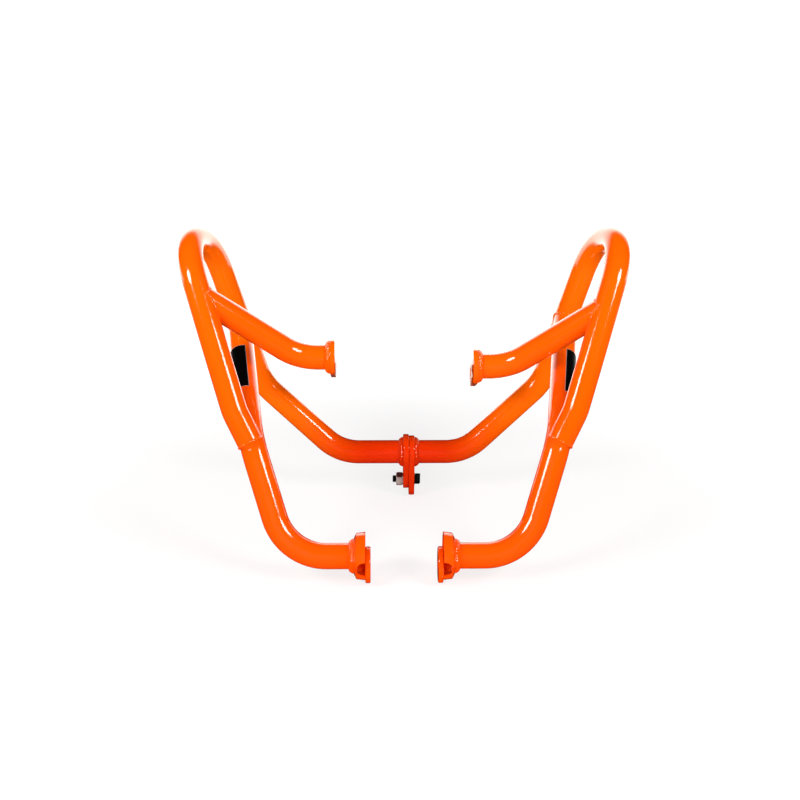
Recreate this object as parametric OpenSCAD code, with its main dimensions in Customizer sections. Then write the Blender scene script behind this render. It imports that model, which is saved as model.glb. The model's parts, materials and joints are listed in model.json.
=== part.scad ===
/* [Tube] */
// Outside diameter of every tube
tube_od = 25; // [22:0.5:28]
// Wall thickness of every tube
tube_wall = 2; // [1.5:0.1:3]
// Centre-line radius of every bend
bend_r = 52; // [46:1:54]

/* [Hoop] */
// Height of the hoop's front bend corner above the floor
hoop_top_front = 302; // [290:1:315]
// Height of the hoop's rear bend corner above the floor
hoop_top_rear = 285; // [275:1:300]
// Distance of the front bend corner from the middle plane
hoop_half_width = 213.5; // [205:0.5:225]
// Distance of the rear bend corner from the middle plane
hoop_rear_half_width = 199; // [190:1:206]
// How far the front bend corner lies behind the lower mounts
hoop_front_back = 123; // [115:1:128]
// How far the rear bend corner lies behind the lower mounts
hoop_rear_back = 211; // [206:1:222]
// Height of the slight bend low in the front leg above the leg's foot
leg_bend_height = 27; // [22:1:37]
// How far that bend stands out from the straight line
leg_bow = 5; // [3:0.5:7]

/* [Brace] */
// Height of the brace tube's knee above the floor
knee_height = 130; // [122:1:138]
// Distance of the knee from the middle plane
knee_half_width = 148; // [142:1:154]
// How far the knee lies behind the lower mounts
knee_back = 43; // [38:1:48]
// Height at which the brace meets the rear leg
brace_top_height = 196; // [185:1:205]
// Height of the lower tube run above the floor
lower_run_height = 27; // [26:0.5:32]
// Distance of the lower corner from the middle plane
lower_corner_half_width = 114; // [108:1:120]

/* [Crossbar] */
// How far the crossbar lies behind the lower mounts
crossbar_back = 195; // [188:1:202]
// Height of the crossbar above the floor
crossbar_height = 50; // [46:1:54]
// Distance of the crossbar's corners from the middle plane
crossbar_corner_half_width = 67; // [60:1:74]
// Distance of the rear leg's lower corner from the middle plane
rear_knee_half_width = 150; // [144:1:156]
// How far the rear leg's lower corner lies behind the lower mounts
rear_knee_back = 213; // [208:1:218]
// Height of the rear leg's lower corner above the floor
rear_knee_height = 124; // [116:1:132]
// How far the joint lies to the right of the middle plane
joint_offset = 7; // [0:0.5:12]

/* [Upper arms] */
// Height of the left arm's end above the floor
left_arm_height = 182; // [174:1:190]
// Height of the right arm's end above the floor
right_arm_height = 172; // [164:1:182]
// Height at which the left arm leaves the front leg
left_arm_root = 255; // [246:1:260]
// Height at which the right arm leaves the front leg
right_arm_root = 244; // [238:1:256]
// How far the arms' ends lie behind the lower mounts
arm_back = 130; // [120:1:140]
// Distance of the arms' corners from the middle plane
arm_corner_half_width = 105; // [100:1:112]

/* [Upper mount plates] */
// Distance between the inner faces of the two upper plates
upper_mount_gap = 138; // [130:1:146]
// Thickness of the upper plates
upper_plate_t = 5; // [4:0.5:6]
// Diameter of the upper plates round the tube
upper_plate_d = 35; // [35:1:42]
// Distance from the tube's axis to the upper plates' bolt hole
upper_tab_reach = 34; // [32:1:40]
// Angle at which the upper plates' tabs slope down towards the back
upper_tab_slope = 32; // [0:1:40]
// Radius of the upper plates' tab round its bolt hole
upper_tab_r = 13.5; // [12:0.5:16]
// Diameter of the upper plates' bolt hole
upper_hole_d = 10.5; // [8.5:0.5:12.5]

/* [Lower mounts] */
// Distance between the inner faces of the two lower mount plates
lower_mount_gap = 64.5; // [60:0.5:72]
// How far the middle of that distance lies to the left of the middle plane
lower_mount_offset = 1.5; // [0:0.5:4]
// Thickness of the lower mount plates
lower_plate_t = 5; // [4:0.5:6]
// Diameter of the lower mount plates
lower_plate_d = 35; // [33:0.5:38]
// Diameter of the lower mount plates' bolt hole
lower_hole_d = 8.5; // [8:0.5:10]
// Length of the bracket cup between tube and mount plate
cup_length = 11; // [10:0.5:13]
// Largest radius of the bracket cup
cup_mouth_r = 23; // [22:0.5:24]
// Radius of the bracket cup where the tube is welded to it
cup_root_r = 17; // [16:0.5:18]
// Wall thickness of the bracket cup
cup_wall = 3.5; // [3:0.5:4]
// Radius of the round notch in the bracket cup's front
notch_r = 9.5; // [8:0.5:9.5]
// Angle at which the notch faces down from straight ahead
notch_slope = 14; // [0:2:30]
// Diameter of the drain hole in the bracket cup
drain_d = 6; // [4:0.5:7]

/* [Centre joint] */
// Thickness of each centre plate
centre_plate_t = 6; // [5:0.5:8]
// Radius of the left centre plate round the crossbar
left_centre_plate_r = 19; // [17.5:0.5:21]
// Radius of the right centre plate round the crossbar
right_centre_plate_r = 17.5; // [17.5:0.5:21]
// Distance from the crossbar's axis down to the joint bolt
joint_drop = 32; // [30:0.5:34]
// Radius of the left plate's lower end
left_tab_r = 10; // [9:0.5:12]
// Radius of the right plate's lower end
right_tab_r = 12; // [10:0.5:13]
// Thread diameter of the joint bolt
bolt_d = 8; // [6:1:8]
// Clearance of the joint bolt in its holes
bolt_clearance = 0.5; // [0.3:0.1:1]
// Width across the flats of the bolt's head
head_flats = 10; // [10:0.5:13]
// Height of the bolt's head with its flange
head_height = 6.3; // [5:0.1:8]
// Diameter of the bolt's flange
flange_d = 14.2; // [14:0.2:18]
// Thickness of the bolt's flange
flange_t = 1.5; // [1:0.1:2]
// Width across the flats of the nut
nut_flats = 13; // [12:0.5:14]
// Height of the nut
nut_height = 7.5; // [6:0.5:9]
// How far the bolt's tip stands out of the nut
tip_length = 3.8; // [1:0.1:6]

/* [Welds] */
// Radial size of the fillet welds round the plates
plate_weld_leg = 4.4; // [3:0.2:5]
// Radial size of the fillet welds round the centre plates
centre_weld_leg = 3.8; // [3:0.2:5]
// Length of the fillet welds along the tube
plate_weld_length = 6.5; // [4:0.5:8]
// Size of the weld bead where one tube meets another
bead = 1.5; // [1:0.5:3]

/* [Hidden] */
$fn = 64;

powder_coat = "orangered";
zinc = "silver";
blacking = "#202020";

tube_r = tube_od / 2;
bore_r = tube_r - tube_wall;
// Smallest length by which a cutting shape passes the face that it cuts
over = 1;
// How far a coped end stops short of the other tube's axis
cope_stop = 1.5;
// How much a bend draws the tube's section in, all round
bend_draw = 0.03;
// How far a straight stretch runs on into the bend that follows it
bend_lap = 0.5;
// How far a tab's straight flanks lie inside its rounds
flank_inset = 0.03;

// How far the front leg's foot stands in front of the knee
foot_lead = 3.5;
// How far the front leg's foot lies below the knee
foot_drop = 2;
// Where the crown of a fillet weld lies, as a share of its radial size
crown_out = 0.62;
// Where the crown of a fillet weld lies, as a share of its length
crown_along = 0.55;
// How far a bead is followed up a coped tube, in tube radii
saddle_reach = 3.2;
// Height of the bead round the front leg's foot, in bead sizes
toe_height = 3;
// How much that bead narrows downwards, in bead sizes
toe_taper = 2;
// How far the rear leg's lower bend stays inside the back of its corner
rear_bend_inset = 0.1;
// Position of the lower mounts that puts the origin midway between the front and the back
mount_y = (cup_mouth_r - (rear_knee_back + tube_r - rear_bend_inset)) / 2;

// Planes of the plates, as distances from the middle plane
upper_plate_in = upper_mount_gap / 2;
upper_plate_out = upper_plate_in + upper_plate_t;
function lower_plate_in(side) = lower_mount_gap / 2 - side * lower_mount_offset;
function lower_plate_out(side) = lower_plate_in(side) + lower_plate_t;
function cup_root(side) = lower_plate_out(side) + cup_length;

// Point at a distance from the middle plane, a distance behind the lower mounts and a height
function at(out, back, height) = [out, mount_y + back, height];

// Corner points of the tubes on the side whose distances count as positive
lower_corner = at(lower_corner_half_width, 0, lower_run_height);
knee = at(knee_half_width, knee_back, knee_height);
front_corner = at(hoop_half_width, hoop_front_back, hoop_top_front);
rear_corner = at(hoop_rear_half_width, hoop_rear_back, hoop_top_rear);
rear_knee = at(rear_knee_half_width, rear_knee_back, rear_knee_height);
crossbar_corner = at(crossbar_corner_half_width, crossbar_back, crossbar_height);
leg_foot = knee + [0, -foot_lead, -foot_drop];
leg_bend = along(leg_foot, front_corner, leg_foot.z + leg_bend_height) + [leg_bow, 0, 0];
brace_top = along(rear_corner, rear_knee, brace_top_height);
function lower_end(side) = at(cup_root(side), 0, lower_run_height);

// Distances from the middle plane to the joint's faces, measured outwards on each side
function joint_face(side) = side * joint_offset;
function centre_plate_out(side) = joint_face(side) + centre_plate_t;

function arm_height(side) = side < 0 ? left_arm_height : right_arm_height;
function arm_root_height(side) = side < 0 ? left_arm_root : right_arm_root;
function arm_root(side) = along(leg_bend, front_corner, arm_root_height(side));
function arm_corner(side) = at(arm_corner_half_width, arm_back, arm_height(side));
function arm_end(side) = at(upper_plate_out, arm_back, arm_height(side));

// Point of the line from a to b that lies at height z
function along(a, b, z) = a + (b - a) * (z - a.z) / (b.z - a.z);
function unit(v) = v / norm(v);
// Angle by which a path turns at b on its way from a to c
function turn(a, b, c) = acos(unit(b - a) * unit(c - b));
// Distance from the corner b to the start of its bend
function setback(a, b, c) = bend_r * tan(turn(a, b, c) / 2);
function is_inner(path, i) = i > 0 && i < len(path) - 1;
function bend_in(path, i) = is_inner(path, i)
    ? path[i] - unit(path[i] - path[i - 1]) * setback(path[i - 1], path[i], path[i + 1])
    : path[i];
function bend_out(path, i) = is_inner(path, i)
    ? path[i] + unit(path[i + 1] - path[i]) * setback(path[i - 1], path[i], path[i + 1])
    : path[i];
// Point at the distance d beyond b on the line from a to b
function beyond(a, b, d) = b + unit(b - a) * d;

// Places its children with their X, Y and Z axes along x, y and z and their origin at p
module place(p, x, y, z) {
    multmatrix([
        [x.x, y.x, z.x, p.x],
        [x.y, y.y, z.y, p.y],
        [x.z, y.z, z.z, p.z],
        [0, 0, 0, 1]
    ]) children();
}

// Straight round bar from a to b
module bar(a, b, r) {
    z = unit(b - a);
    x = unit(cross(z, [0.31, 0.87, 0.38]));
    place(a, x, cross(z, x), z) cylinder(h = norm(b - a), r = r);
}

// Bent round bar at the corner b of the path a, b, c
module bend(a, b, c, r) {
    inwards = unit(b - a);
    ahead = unit(c - b);
    to_centre = unit(ahead - inwards * (ahead * inwards));
    start = b - inwards * setback(a, b, c);
    place(start + to_centre * bend_r, -to_centre, inwards, cross(-to_centre, inwards))
        rotate_extrude(angle = turn(a, b, c), $fn = 96)
            translate([bend_r, 0])
                circle(r = r - bend_draw);
}

// Round bar along a path, bent at each inner point
module bent_bar(path, r) {
    for (i = [0 : len(path) - 2]) {
        a = bend_out(path, i);
        b = bend_in(path, i + 1);
        bar(beyond(b, a, is_inner(path, i) ? bend_lap : 0), beyond(a, b, is_inner(path, i + 1) ? bend_lap : 0), r);
    }
    for (i = [1 : 1 : len(path) - 2])
        bend(path[i - 1], path[i], path[i + 1], r);
}

// Mirrors the left side's children across the middle plane
module on_side(side) {
    if (side < 0)
        mirror([1, 0, 0]) children();
    else
        children();
}

function brace_path(side) = [
    beyond(knee, brace_top, -cope_stop), knee, lower_corner, lower_end(side)
];
function hoop_path(side) = [
    leg_foot, leg_bend, front_corner, rear_corner, rear_knee, crossbar_corner,
    at(centre_plate_out(side), crossbar_back, crossbar_height)
];
function arm_path(side) = [
    beyond(arm_corner(side), arm_root(side), -cope_stop), arm_corner(side), arm_end(side)
];

// Hollow of a tube, longer than the tube at both ends
module tube_bore(path) {
    last = len(path) - 1;
    bent_bar([
        beyond(path[1], path[0], over),
        for (i = [1 : last - 1]) path[i],
        beyond(path[last - 1], path[last], over)
    ], bore_r);
}

// One bent tube: front leg, top bend, rear leg and crossbar half
module hoop_tube(side) {
    path = hoop_path(side);
    color(powder_coat)
        on_side(side)
            difference() {
                bent_bar(path, tube_r);
                tube_bore(path);
                bent_bar(brace_path(side), tube_r);
            }
}

// One bent tube from the rear leg forward to the knee and down to the lower bracket
module brace_tube(side) {
    path = brace_path(side);
    color(powder_coat)
        on_side(side)
            difference() {
                bent_bar(path, tube_r);
                tube_bore(path);
                bar(rear_corner, rear_knee, tube_r);
            }
}

// Tube from the front leg inwards to the upper mount plate
module upper_arm(side) {
    path = arm_path(side);
    color(powder_coat)
        on_side(side)
            difference() {
                bent_bar(path, tube_r);
                tube_bore(path);
                bar(leg_bend, front_corner, tube_r);
            }
}

// Plate round two centres, a distance apart along X, with flanks along their outer tangents
module tab(r1, r2, reach, t) {
    a = acos((r1 - r2) / reach);
    p1 = (r1 - flank_inset) * [cos(a), sin(a)];
    p2 = (r2 - flank_inset) * [cos(a), sin(a)] + [reach, 0];
    cylinder(h = t, r = r1);
    translate([reach, 0, 0]) cylinder(h = t, r = r2);
    linear_extrude(t) polygon([p1, p2, [p2.x, -p2.y], [p1.x, -p1.y]]);
}

// Plate that a tube ends on, with a tab for the bolt that slopes down towards the back
module upper_mount_plate(side) {
    back = [0, cos(upper_tab_slope), -sin(upper_tab_slope)];
    color(powder_coat)
        on_side(side)
            place(at(upper_plate_in, arm_back, arm_height(side)), back, cross([1, 0, 0], back), [1, 0, 0])
                difference() {
                    tab(upper_plate_d / 2, upper_tab_r, upper_tab_reach, upper_plate_t);
                    translate([upper_tab_reach, 0, -over])
                        cylinder(h = upper_plate_t + 2 * over, d = upper_hole_d);
                }
}

// Flared cup between the lower tube's end and the mount plate, with a round notch in its front
module lower_bracket(side) {
    shoulder = 2.5;
    taper = 1;
    inner_r = cup_mouth_r - cup_wall;
    ahead = [0, -cos(notch_slope), -sin(notch_slope)];
    color(powder_coat)
        on_side(side)
            difference() {
                place(lower_end(side), [0, 1, 0], [0, 0, -1], [-1, 0, 0])
                    rotate_extrude()
                        polygon([
                            [0, 0], [cup_root_r, 0], [cup_mouth_r - taper, shoulder],
                            [cup_mouth_r, cup_length], [inner_r, cup_length],
                            [inner_r - taper, cup_wall], [0, cup_wall]
                        ]);
                place(at(lower_plate_out(side), 0, lower_run_height), [1, 0, 0], cross(ahead, [1, 0, 0]), ahead)
                    cylinder(h = cup_mouth_r + over, r = notch_r);
                translate(at(lower_plate_out(side) + (cup_length - cup_wall) / 2, 0, lower_run_height - cup_mouth_r))
                    translate([0, 0, -over])
                        cylinder(h = cup_wall + 3 * over, d = drain_d);
            }
}

// Round plate that bolts to the motorcycle's frame
module lower_mount_plate(side) {
    color(powder_coat)
        on_side(side)
            translate(at(lower_plate_in(side), 0, lower_plate_d / 2))
                rotate([0, 90, 0])
                    difference() {
                        cylinder(h = lower_plate_t, d = lower_plate_d);
                        translate([0, 0, -over])
                            cylinder(h = lower_plate_t + 2 * over, d = lower_hole_d);
                    }
}

// Plate on the end of one crossbar half, with a tab for the joint bolt that points down
module centre_plate(side) {
    top_r = side < 0 ? left_centre_plate_r : right_centre_plate_r;
    tab_r = side < 0 ? left_tab_r : right_tab_r;
    reach = side < 0 ? joint_drop : crossbar_height - tab_r;
    color(powder_coat)
        on_side(side)
            place(at(joint_face(side), crossbar_back, crossbar_height), [0, 0, -1], [0, 1, 0], [1, 0, 0])
                difference() {
                    tab(top_r, tab_r, reach, centre_plate_t);
                    translate([joint_drop, 0, -over])
                        cylinder(h = centre_plate_t + 2 * over, d = bolt_d + bolt_clearance);
                }
}

// Ring of weld round a tube that runs along +X from the plate at p
module plate_weld(p, leg) {
    crown = [tube_r + crown_out * leg, crown_along * plate_weld_length];
    place(p, [0, 1, 0], [0, 0, 1], [1, 0, 0])
        rotate_extrude()
            polygon([[tube_r, 0], [tube_r + leg, 0], crown, [tube_r, plate_weld_length]]);
}

module upper_plate_weld(side) {
    color(powder_coat) on_side(side) plate_weld(arm_end(side), plate_weld_leg);
}

module lower_bracket_weld(side) {
    color(powder_coat) on_side(side) plate_weld(lower_end(side), plate_weld_leg);
}

module centre_plate_weld(side) {
    color(powder_coat)
        on_side(side)
            plate_weld(at(centre_plate_out(side), crossbar_back, crossbar_height), centre_weld_leg);
}

// Bead in the corner between a coped tube, which runs from a to its end b, and the tube c to d
module saddle_weld(a, b, c, d) {
    reach = saddle_reach * tube_r / sin(turn(a, b, b + d - c));
    near = b + unit(a - b) * reach;
    difference() {
        intersection() {
            bar(near, b, tube_r + bead);
            bar(c, d, tube_r + bead);
        }
        bar(c, d, tube_r);
        bar(a, beyond(a, b, over), tube_r);
    }
}

module brace_weld(side) {
    color(powder_coat)
        on_side(side)
            saddle_weld(bend_in(brace_path(side), 1), brace_path(side)[0], rear_corner, rear_knee);
}

module arm_weld(side) {
    path = arm_path(side);
    color(powder_coat)
        on_side(side)
            saddle_weld(path[1], path[0], leg_bend, front_corner);
}

// Bead round the foot of the front leg, in front of the brace tube's knee
module front_leg_weld(side) {
    axis = unit(leg_foot - leg_bend);
    x = unit(cross(axis, [1, 0, 0]));
    color(powder_coat)
        on_side(side)
            difference() {
                place(leg_foot, x, cross(axis, x), axis)
                    cylinder(h = toe_height * bead, r1 = tube_r, r2 = tube_r - toe_taper * bead);
                bent_bar(brace_path(side), tube_r);
            }
}

// Hexagon of the given width across its flats, with a flat on top
module hexagon(flats) {
    circle(d = flats / cos(30), $fn = 6);
}

// Flange bolt through both centre plates, with its head on the right
module joint_bolt() {
    head_face = joint_offset + centre_plate_t;
    length = 2 * centre_plate_t + nut_height + tip_length;
    color(blacking)
        place(at(head_face, crossbar_back, crossbar_height - joint_drop), [0, 1, 0], [0, 0, 1], [1, 0, 0]) {
            cylinder(h = flange_t, d = flange_d);
            linear_extrude(head_height) hexagon(head_flats);
            translate([0, 0, -length]) cylinder(h = length, d = bolt_d);
        }
}

// Hexagon nut against the left centre plate
module joint_nut() {
    nut_back = joint_offset - centre_plate_t - nut_height;
    color(zinc)
        place(at(nut_back, crossbar_back, crossbar_height - joint_drop), [0, 1, 0], [0, 0, 1], [1, 0, 0])
            difference() {
                linear_extrude(nut_height) hexagon(nut_flats);
                translate([0, 0, -over]) cylinder(h = nut_height + 2 * over, d = bolt_d);
            }
}

hoop_tube(-1);  // left_hoop_tube
hoop_tube(1);  // right_hoop_tube
brace_tube(-1);  // left_brace_tube
brace_tube(1);  // right_brace_tube
upper_arm(-1);  // left_upper_arm
upper_arm(1);  // right_upper_arm
upper_mount_plate(-1);  // left_upper_mount_plate
upper_mount_plate(1);  // right_upper_mount_plate
lower_bracket(-1);  // left_lower_bracket
lower_bracket(1);  // right_lower_bracket
lower_mount_plate(-1);  // left_lower_mount_plate
lower_mount_plate(1);  // right_lower_mount_plate
centre_plate(-1);  // left_centre_plate
centre_plate(1);  // right_centre_plate
front_leg_weld(-1);  // left_front_leg_weld
front_leg_weld(1);  // right_front_leg_weld
brace_weld(-1);  // left_brace_weld
brace_weld(1);  // right_brace_weld
arm_weld(-1);  // left_arm_weld
arm_weld(1);  // right_arm_weld
upper_plate_weld(-1);  // left_upper_plate_weld
upper_plate_weld(1);  // right_upper_plate_weld
lower_bracket_weld(-1);  // left_lower_bracket_weld
lower_bracket_weld(1);  // right_lower_bracket_weld
centre_plate_weld(-1);  // left_centre_plate_weld
centre_plate_weld(1);  // right_centre_plate_weld
joint_bolt();
joint_nut();
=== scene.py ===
"""Looks of a pair of motorcycle crash bars: powder coat, weld beads, plates, bolt, stickers and studio."""

from __future__ import annotations

import json
import logging
import math
from dataclasses import dataclass, field
from enum import Enum

import bpy
from mathutils import Euler, Matrix, Vector

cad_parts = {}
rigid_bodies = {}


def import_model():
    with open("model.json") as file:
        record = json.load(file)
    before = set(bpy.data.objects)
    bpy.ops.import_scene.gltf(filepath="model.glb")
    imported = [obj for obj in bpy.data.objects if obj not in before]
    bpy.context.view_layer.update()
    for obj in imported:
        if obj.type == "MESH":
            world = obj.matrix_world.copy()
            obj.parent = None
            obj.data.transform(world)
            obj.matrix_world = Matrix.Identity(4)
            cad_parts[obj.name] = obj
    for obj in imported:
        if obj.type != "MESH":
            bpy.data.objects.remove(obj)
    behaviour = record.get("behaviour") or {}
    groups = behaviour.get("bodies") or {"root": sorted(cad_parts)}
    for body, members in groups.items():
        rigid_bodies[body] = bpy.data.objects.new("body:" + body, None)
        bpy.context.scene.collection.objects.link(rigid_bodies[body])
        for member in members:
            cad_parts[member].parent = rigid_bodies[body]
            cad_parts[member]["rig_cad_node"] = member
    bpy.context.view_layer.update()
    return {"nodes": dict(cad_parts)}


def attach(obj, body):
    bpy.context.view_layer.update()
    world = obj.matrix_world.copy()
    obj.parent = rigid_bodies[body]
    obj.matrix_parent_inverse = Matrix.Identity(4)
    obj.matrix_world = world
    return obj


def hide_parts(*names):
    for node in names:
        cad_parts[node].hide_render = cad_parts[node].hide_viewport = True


log = logging.getLogger("crash_bars")

Piece = bpy.types.Object
Socket = bpy.types.NodeSocket
Colour = tuple[float, float, float]

MM = 0.001
TUBE_R = 12.5 * MM
BEND_R = 52 * MM
MOUNT_Y = -101.2 * MM
BODY = "root"


class Side(Enum):
    """One half of the pair, valued by the sign of its X."""

    LEFT = -1
    RIGHT = 1

    @property
    def label(self) -> str:
        """The word that starts the names of this half's nodes."""
        return self.name.lower()


class Slot(Enum):
    """Material slots of the record."""

    POWDER = "powder_coat"
    BLACK = "blackened_steel"
    ZINC = "zinc_plating"
    STICKER = "sticker_black"


def at(side: Side, out: float, back: float, height: float) -> Vector:
    """Gives a point of one half.

    Args:
        side: The half.
        out: Distance from the middle plane in millimetres.
        back: Distance behind the lower mounts in millimetres.
        height: Height above the floor in millimetres.

    Returns:
        The point in metres.
    """
    return Vector((side.value * out * MM, MOUNT_Y + back * MM, height * MM))


def along(start: Vector, end: Vector, height: float) -> Vector:
    """Gives the point of the line from start to end that lies at a height in metres."""
    return start + (end - start) * ((height - start.z) / (end.z - start.z))


def facing(axis: Vector) -> Matrix:
    """Gives the turn that lays local Z along an axis."""
    return axis.to_track_quat("Z", "Y").to_matrix().to_4x4()


# Working in Blender's own tools


def clear() -> None:
    """Deselects all objects."""
    bpy.ops.object.select_all(action="DESELECT")


def take_all() -> None:
    """Selects all of the mesh that is being edited."""
    bpy.ops.mesh.select_all(action="SELECT")


def only(piece: Piece) -> None:
    """Selects one object and makes it active.

    Args:
        piece: The piece.
    """
    clear()
    piece.select_set(True)
    bpy.context.view_layer.objects.active = piece


def fresh(name: str) -> Piece:
    """Names the primitive that was just added and returns it."""
    return fresh_name(bpy.context.object, name)


def fresh_name(piece: Piece, name: str) -> Piece:
    """Gives a piece and its mesh a name and returns the piece.

    Args:
        piece: The piece.
        name: Its name.

    Returns:
        The same piece.
    """
    piece.name = name
    piece.data.name = name
    return piece


def settle(piece: Piece) -> None:
    """Moves an object's place, turn and scale into its mesh."""
    only(piece)
    bpy.ops.object.transform_apply(location=True, rotation=True, scale=True)


def edit(piece: Piece) -> None:
    """Opens a piece in edit mode with all of it selected.

    Args:
        piece: The piece.
    """
    only(piece)
    bpy.ops.object.mode_set(mode="EDIT")
    take_all()


def leave() -> None:
    """Returns to object mode."""
    bpy.ops.object.mode_set(mode="OBJECT")


def close_up(piece: Piece) -> None:
    """Merges doubles, fills holes and turns all faces outwards.

    Args:
        piece: The piece.
    """
    edit(piece)
    bpy.ops.mesh.remove_doubles(threshold=1e-6)
    take_all()
    bpy.ops.mesh.fill_holes(sides=0)
    take_all()
    bpy.ops.mesh.normals_make_consistent(inside=False)
    leave()


def smooth(piece: Piece, degrees: float = 40) -> None:
    """Shades a piece smooth but for edges sharper than an angle."""
    only(piece)
    bpy.ops.object.shade_smooth_by_angle(angle=math.radians(degrees))


def apply_modifiers(piece: Piece) -> None:
    """Applies all modifiers of a piece in order.

    Args:
        piece: The piece.
    """
    only(piece)
    for name in [m.name for m in piece.modifiers]:
        bpy.ops.object.modifier_apply(modifier=name)


def soften(piece: Piece, width: float, segments: int = 3) -> None:
    """Rounds a piece's sharp edges to a width in metres and applies it.

    Args:
        piece: The piece.
        width: Width of the rounding.
        segments: Faces across it.
    """
    rounding = piece.modifiers.new("rounding", "BEVEL")
    rounding.width = width
    rounding.segments = segments
    rounding.limit_method = "ANGLE"
    rounding.angle_limit = math.radians(35)
    rounding.use_clamp_overlap = True
    apply_modifiers(piece)


def cut(piece: Piece, tool: Piece, operation: str = "DIFFERENCE") -> None:
    """Cuts a piece with a tool object, which is then removed.

    Args:
        piece: The piece.
        tool: The tool object.
        operation: What the boolean does with the tool.
    """
    boolean = piece.modifiers.new("cut", "BOOLEAN")
    boolean.operation = operation
    boolean.solver = "EXACT"
    boolean.object = tool
    apply_modifiers(piece)
    bpy.data.objects.remove(tool, do_unlink=True)


def rounded_copy(node: Piece, width: float) -> Piece:
    """Copies a CAD node into a new piece whose edges are rounded.

    Args:
        node: The node to copy.
        width: Width of the rounding in metres.

    Returns:
        The copy, which still has to replace its node.
    """
    name = f"{node.name}_coated"
    piece = fresh_name(bpy.data.objects.new(name, node.data.copy()), name)
    bpy.context.scene.collection.objects.link(piece)
    edit(piece)
    bpy.ops.mesh.remove_doubles(threshold=2e-6)
    take_all()
    bpy.ops.mesh.dissolve_limited(angle_limit=math.radians(1))
    take_all()
    bpy.ops.mesh.normals_make_consistent(inside=False)
    leave()
    bpy.ops.mesh.customdata_custom_splitnormals_clear()
    soften(piece, width)
    smooth(piece)
    return piece


def join(pieces: list[Piece], name: str) -> Piece:
    """Joins several objects into one of the given name.

    Args:
        pieces: The objects, of which the first stays.
        name: The name.

    Returns:
        The joined object.
    """
    clear()
    for piece in pieces:
        piece.select_set(True)
    bpy.context.view_layer.objects.active = pieces[0]
    bpy.ops.object.join()
    return fresh(name)


# Finishes


@dataclass
class Graph:
    """A node tree with short ways to add and link its nodes.

    Attributes:
        tree: The tree of a material, a world or a group.
    """

    tree: bpy.types.NodeTree

    def give(self, node: bpy.types.Node, **values: object) -> bpy.types.Node:
        """Sets inputs of a node, whose names have underscores for their spaces.

        Args:
            node: The node.
            values: Values by the names of the inputs.

        Returns:
            The same node.
        """
        for label, value in values.items():
            node.inputs[label.replace("_", " ")].default_value = value
        return node

    def add(self, kind: str, **values: object) -> bpy.types.Node:
        """Adds a shader node of a kind and sets inputs of it."""
        return self.give(self.tree.nodes.new(f"ShaderNode{kind}"), **values)

    def add_group(self, group: bpy.types.NodeTree, **values: object) -> bpy.types.Node:
        """Adds a shared node group and sets inputs of it.

        Args:
            group: The group.
            values: Values of the node's inputs.

        Returns:
            The node.
        """
        node = self.add("Group")
        node.node_tree = group
        return self.give(node, **values)

    def link(self, *pairs: tuple[Socket, Socket]) -> None:
        """Links pairs of an output and an input."""
        for source, target in pairs:
            self.tree.links.new(source, target)

    def calculate(self, operation: str, *values: Socket) -> Socket:
        """Calculates with one or two values.

        Args:
            operation: Name of the operation.
            values: Its one or two values.

        Returns:
            The result.
        """
        node = self.add("Math")
        node.operation = operation
        self.link(*zip(values, node.inputs))
        return node.outputs[0]

    def split(self, place: Socket) -> list[Socket]:
        """Gives the X, Y and Z of a place.

        Args:
            place: The place.

        Returns:
            The three sockets.
        """
        node = self.add("SeparateXYZ")
        self.link((place, node.inputs[0]))
        return list(node.outputs)

    def ramp(self, value: Socket, limits: tuple[float, float], start: float, end: float) -> Socket:
        """Turns a value between two limits smoothly into one between two others.

        Args:
            value: The value.
            limits: Values that give the start and the end.
            start: Result at the first limit.
            end: Result at the second limit.

        Returns:
            The result.
        """
        low, high = limits
        node = self.add("MapRange", From_Min=low, From_Max=high, To_Min=start, To_Max=end)
        node.interpolation_type = "SMOOTHSTEP"
        self.link((value, node.inputs["Value"]))
        return node.outputs["Result"]

    def mix(self, blend: str = "MIX") -> bpy.types.Node:
        """Adds a node that mixes two colours.

        Args:
            blend: How the second colour is laid over the first.

        Returns:
            The node.
        """
        node = self.add("Mix")
        node.data_type = "RGBA"
        node.blend_type = blend
        return node

    def by_ray(self, kind: str, others: Socket, these: Socket) -> Socket:
        """Shows one shader to rays of a kind and another to all others.

        Args:
            kind: Kind of the rays, as the light path names it.
            others: Shader for all other rays.
            these: Shader for the rays of that kind.

        Returns:
            The mixed shader.
        """
        node = self.add("MixShader")
        is_kind = self.add("LightPath").outputs[f"Is {kind} Ray"]
        self.link(*zip((is_kind, others, these), node.inputs))
        return node.outputs[0]


def new_group(name: str, sockets: dict[str, str], results: dict[str, str]) -> tuple[Graph, dict, dict]:
    """Starts a shared node group.

    Args:
        name: Name of the group.
        sockets: Names and types of its inputs.
        results: Names and types of its outputs.

    Returns:
        The group's graph, and its inputs and outputs by name.
    """
    group = bpy.data.node_groups.new(name, "ShaderNodeTree")
    for side, labels in (("INPUT", sockets), ("OUTPUT", results)):
        for label, kind in labels.items():
            group.interface.new_socket(label, in_out=side, socket_type=f"NodeSocket{kind}")
    begin, finish = group.nodes.new("NodeGroupInput"), group.nodes.new("NodeGroupOutput")
    return Graph(group), begin.outputs, finish.inputs


# Painted shade low down and round the crossbar, painted light towards the back, over the coat's own colour.
PAINTED_SHADING_INPUTS = ("Upper", "Low", "Rear", "Crossbar")
SHADE_LOW_DOWN = (0.02, 0.26)
LIGHT_TO_THE_REAR = (0.0, 0.08)
CROSSBAR_SHADE_OUT = (0.03, 0.15)
CROSSBAR_SHADE_BACK = (0.04, 0.08)
CROSSBAR_SHADE_UP = (0.05, 0.13)


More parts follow.
